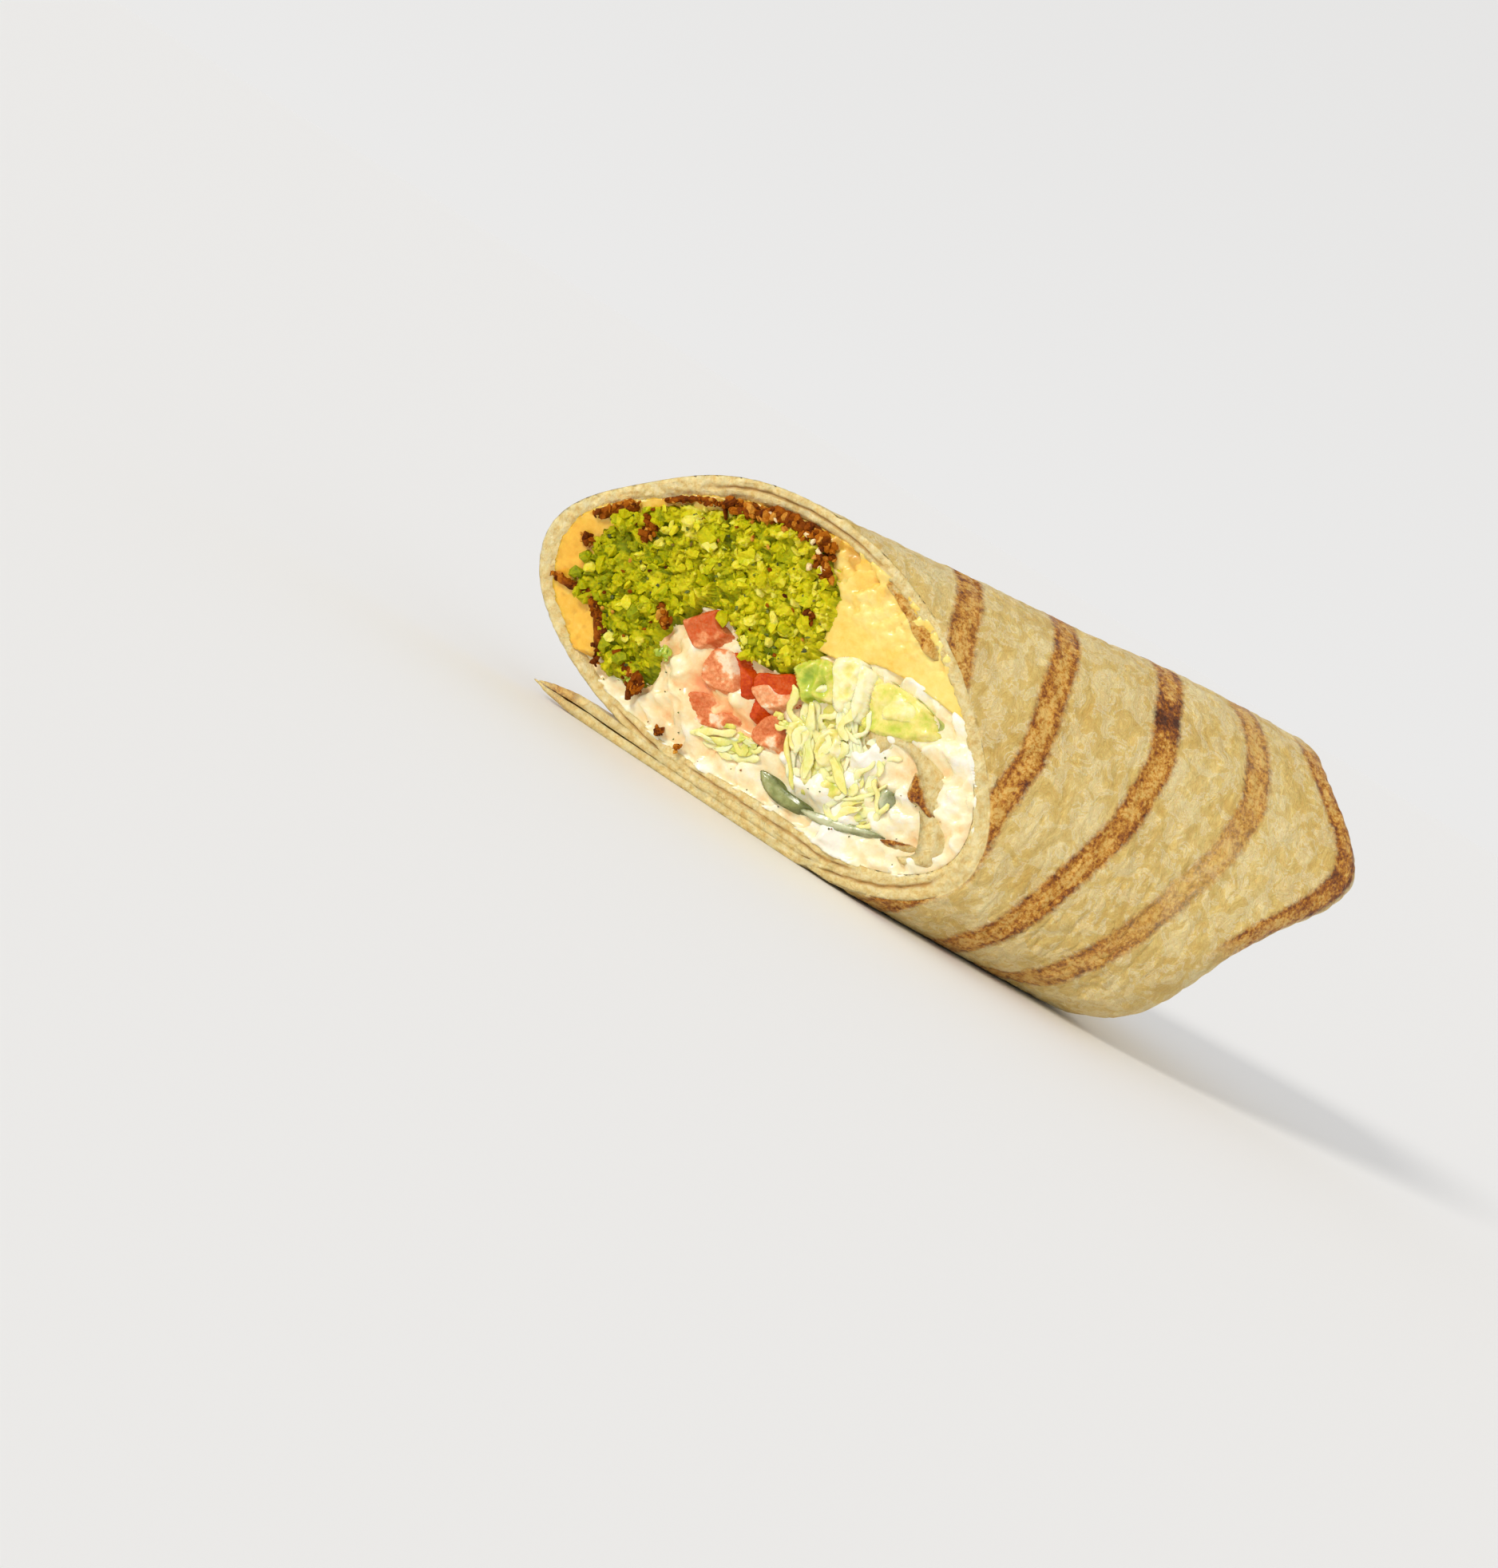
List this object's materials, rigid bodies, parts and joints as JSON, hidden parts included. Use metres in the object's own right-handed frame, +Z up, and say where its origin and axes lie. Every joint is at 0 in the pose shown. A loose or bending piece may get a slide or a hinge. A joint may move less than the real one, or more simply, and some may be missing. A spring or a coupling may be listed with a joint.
{
  "type": "falafel wrap half",
  "caption": "Half of a grilled flour-tortilla wrap cut on the bias, filled with falafel, melted cheese, cream sauce, shredded lettuce, diced tomato and pickle.",
  "frame": {"origin": "on the surface the wrap rests on, under the middle of its bounding box", "axes": "+X runs along the roll from the cut to the folded end, +Y towards the side where the loose lap runs out, +Z up"},
  "size_m": [0.15, 0.0674, 0.0659],
  "materials": {
    "tortilla": "dry, floury, grilled brown in bands",
    "falafel": "coarse crumb with a fried crust",
    "cheese": "soft and slightly glossy",
    "sauce": "wet and creamy",
    "lettuce": "moist",
    "tomato": "wet",
    "pickle": "wet"
  },
  "bodies": {
    "root": {"tortilla": "tortilla", "falafel": "falafel", "melted_cheese": "cheese", "cream_sauce": "sauce", "lettuce": "lettuce", "tomato_1": "tomato", "tomato_2": "tomato", "tomato_3": "tomato", "tomato_4": "tomato", "tomato_5": "tomato", "tomato_6": "tomato", "pickle_1": "pickle", "pickle_2": "pickle", "pickle_3": "pickle"}
  },
  "joints": []
}
